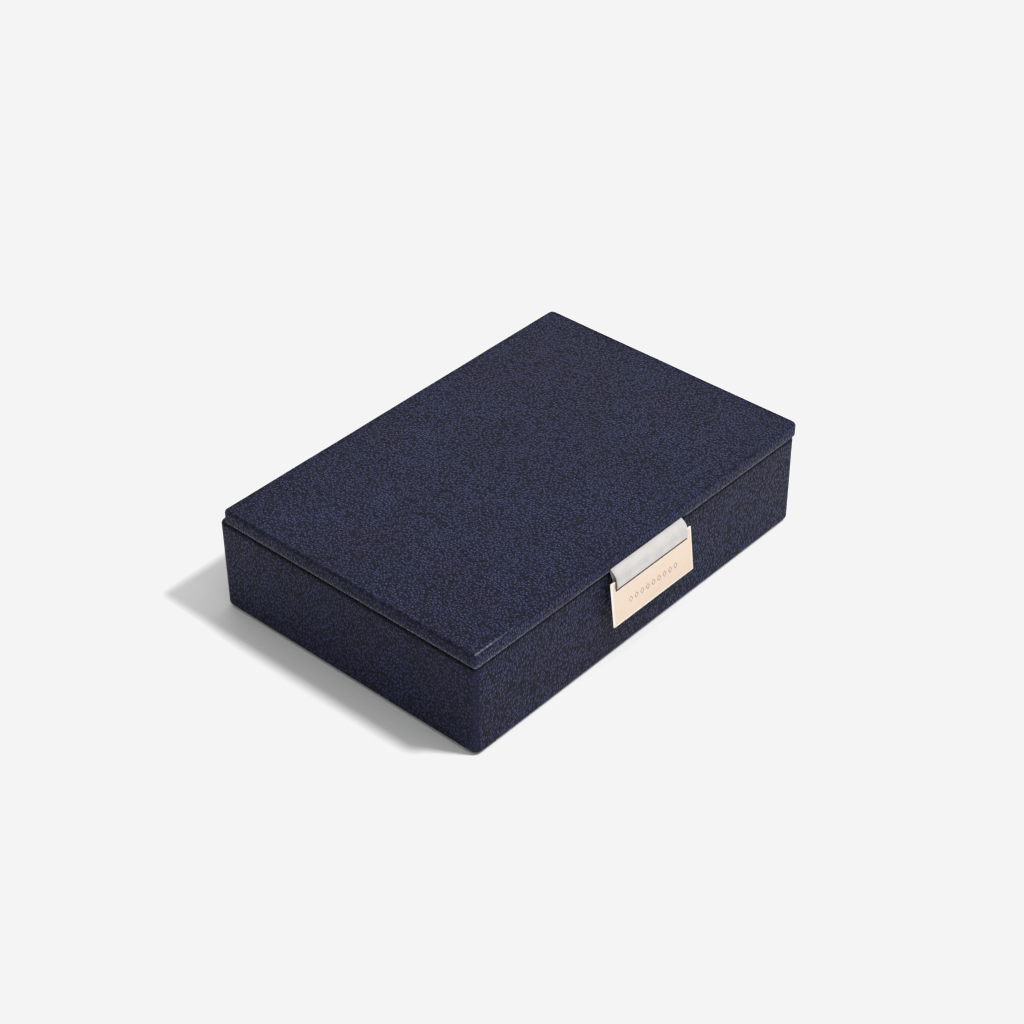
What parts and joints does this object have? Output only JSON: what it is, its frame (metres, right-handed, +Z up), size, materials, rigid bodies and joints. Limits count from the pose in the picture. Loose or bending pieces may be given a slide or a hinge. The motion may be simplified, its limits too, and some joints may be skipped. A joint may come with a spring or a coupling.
{
  "type": "jewellery case",
  "caption": "Low leather-covered jewellery case with a hinged lid, a folded pull strap holding a swinging metal plate, and velvet trays and ring rolls inside.",
  "frame": {"origin": "middle of the underside, on the surface the case stands on", "axes": "+X along the width, to the right seen from the front; -Y towards the front with the pull plate; +Z up"},
  "size_m": [0.25, 0.1811, 0.0635],
  "materials": {
    "navy_leather": "fine pebbled grain, satin",
    "board": "bare fibreboard",
    "grey_velvet": "short-pile velvet",
    "felt": "pressed felt",
    "suede": "pale suede",
    "pale_gold": "fine-brushed pale gold with bright edges"
  },
  "bodies": {
    "case": {"body_cover": "navy_leather", "hinge_strip": "navy_leather", "front_wall": "board", "rear_wall": "board", "left_wall": "board", "right_wall": "board", "base_board": "board", "front_lining": "grey_velvet", "rear_lining": "grey_velvet", "left_lining": "grey_velvet", "right_lining": "grey_velvet", "floor_pad": "grey_velvet", "long_divider": "grey_velvet", "front_divider": "grey_velvet", "middle_divider": "grey_velvet", "tray_divider_long": "grey_velvet", "tray_divider_cross": "grey_velvet", "ring_bed": "grey_velvet", "ring_roll_1": "grey_velvet", "ring_roll_2": "grey_velvet", "ring_roll_3": "grey_velvet", "ring_roll_4": "grey_velvet", "ring_roll_5": "grey_velvet", "ring_roll_6": "grey_velvet", "base_felt": "felt"},
    "lid": {"lid_board": "board", "lid_cover": "navy_leather", "lid_pad": "grey_velvet", "pull_strap": "suede"},
    "plate": {"pull_plate": "pale_gold"}
  },
  "joints": [
    {"name": "lid_hinge", "type": "hinge", "parent": "case", "child": "lid", "pos_m": [0, 0.08525, 0.05515], "axis": [-1, 0, 0], "range_deg": [0, 105], "deforming": ["hinge_strip"]},
    {"name": "plate_swing", "type": "hinge", "parent": "lid", "child": "plate", "pos_m": [0, -0.09039, 0.0487], "axis": [-1, 0, 0], "range_deg": [-9, 80], "deforming": ["pull_strap"]}
  ]
}
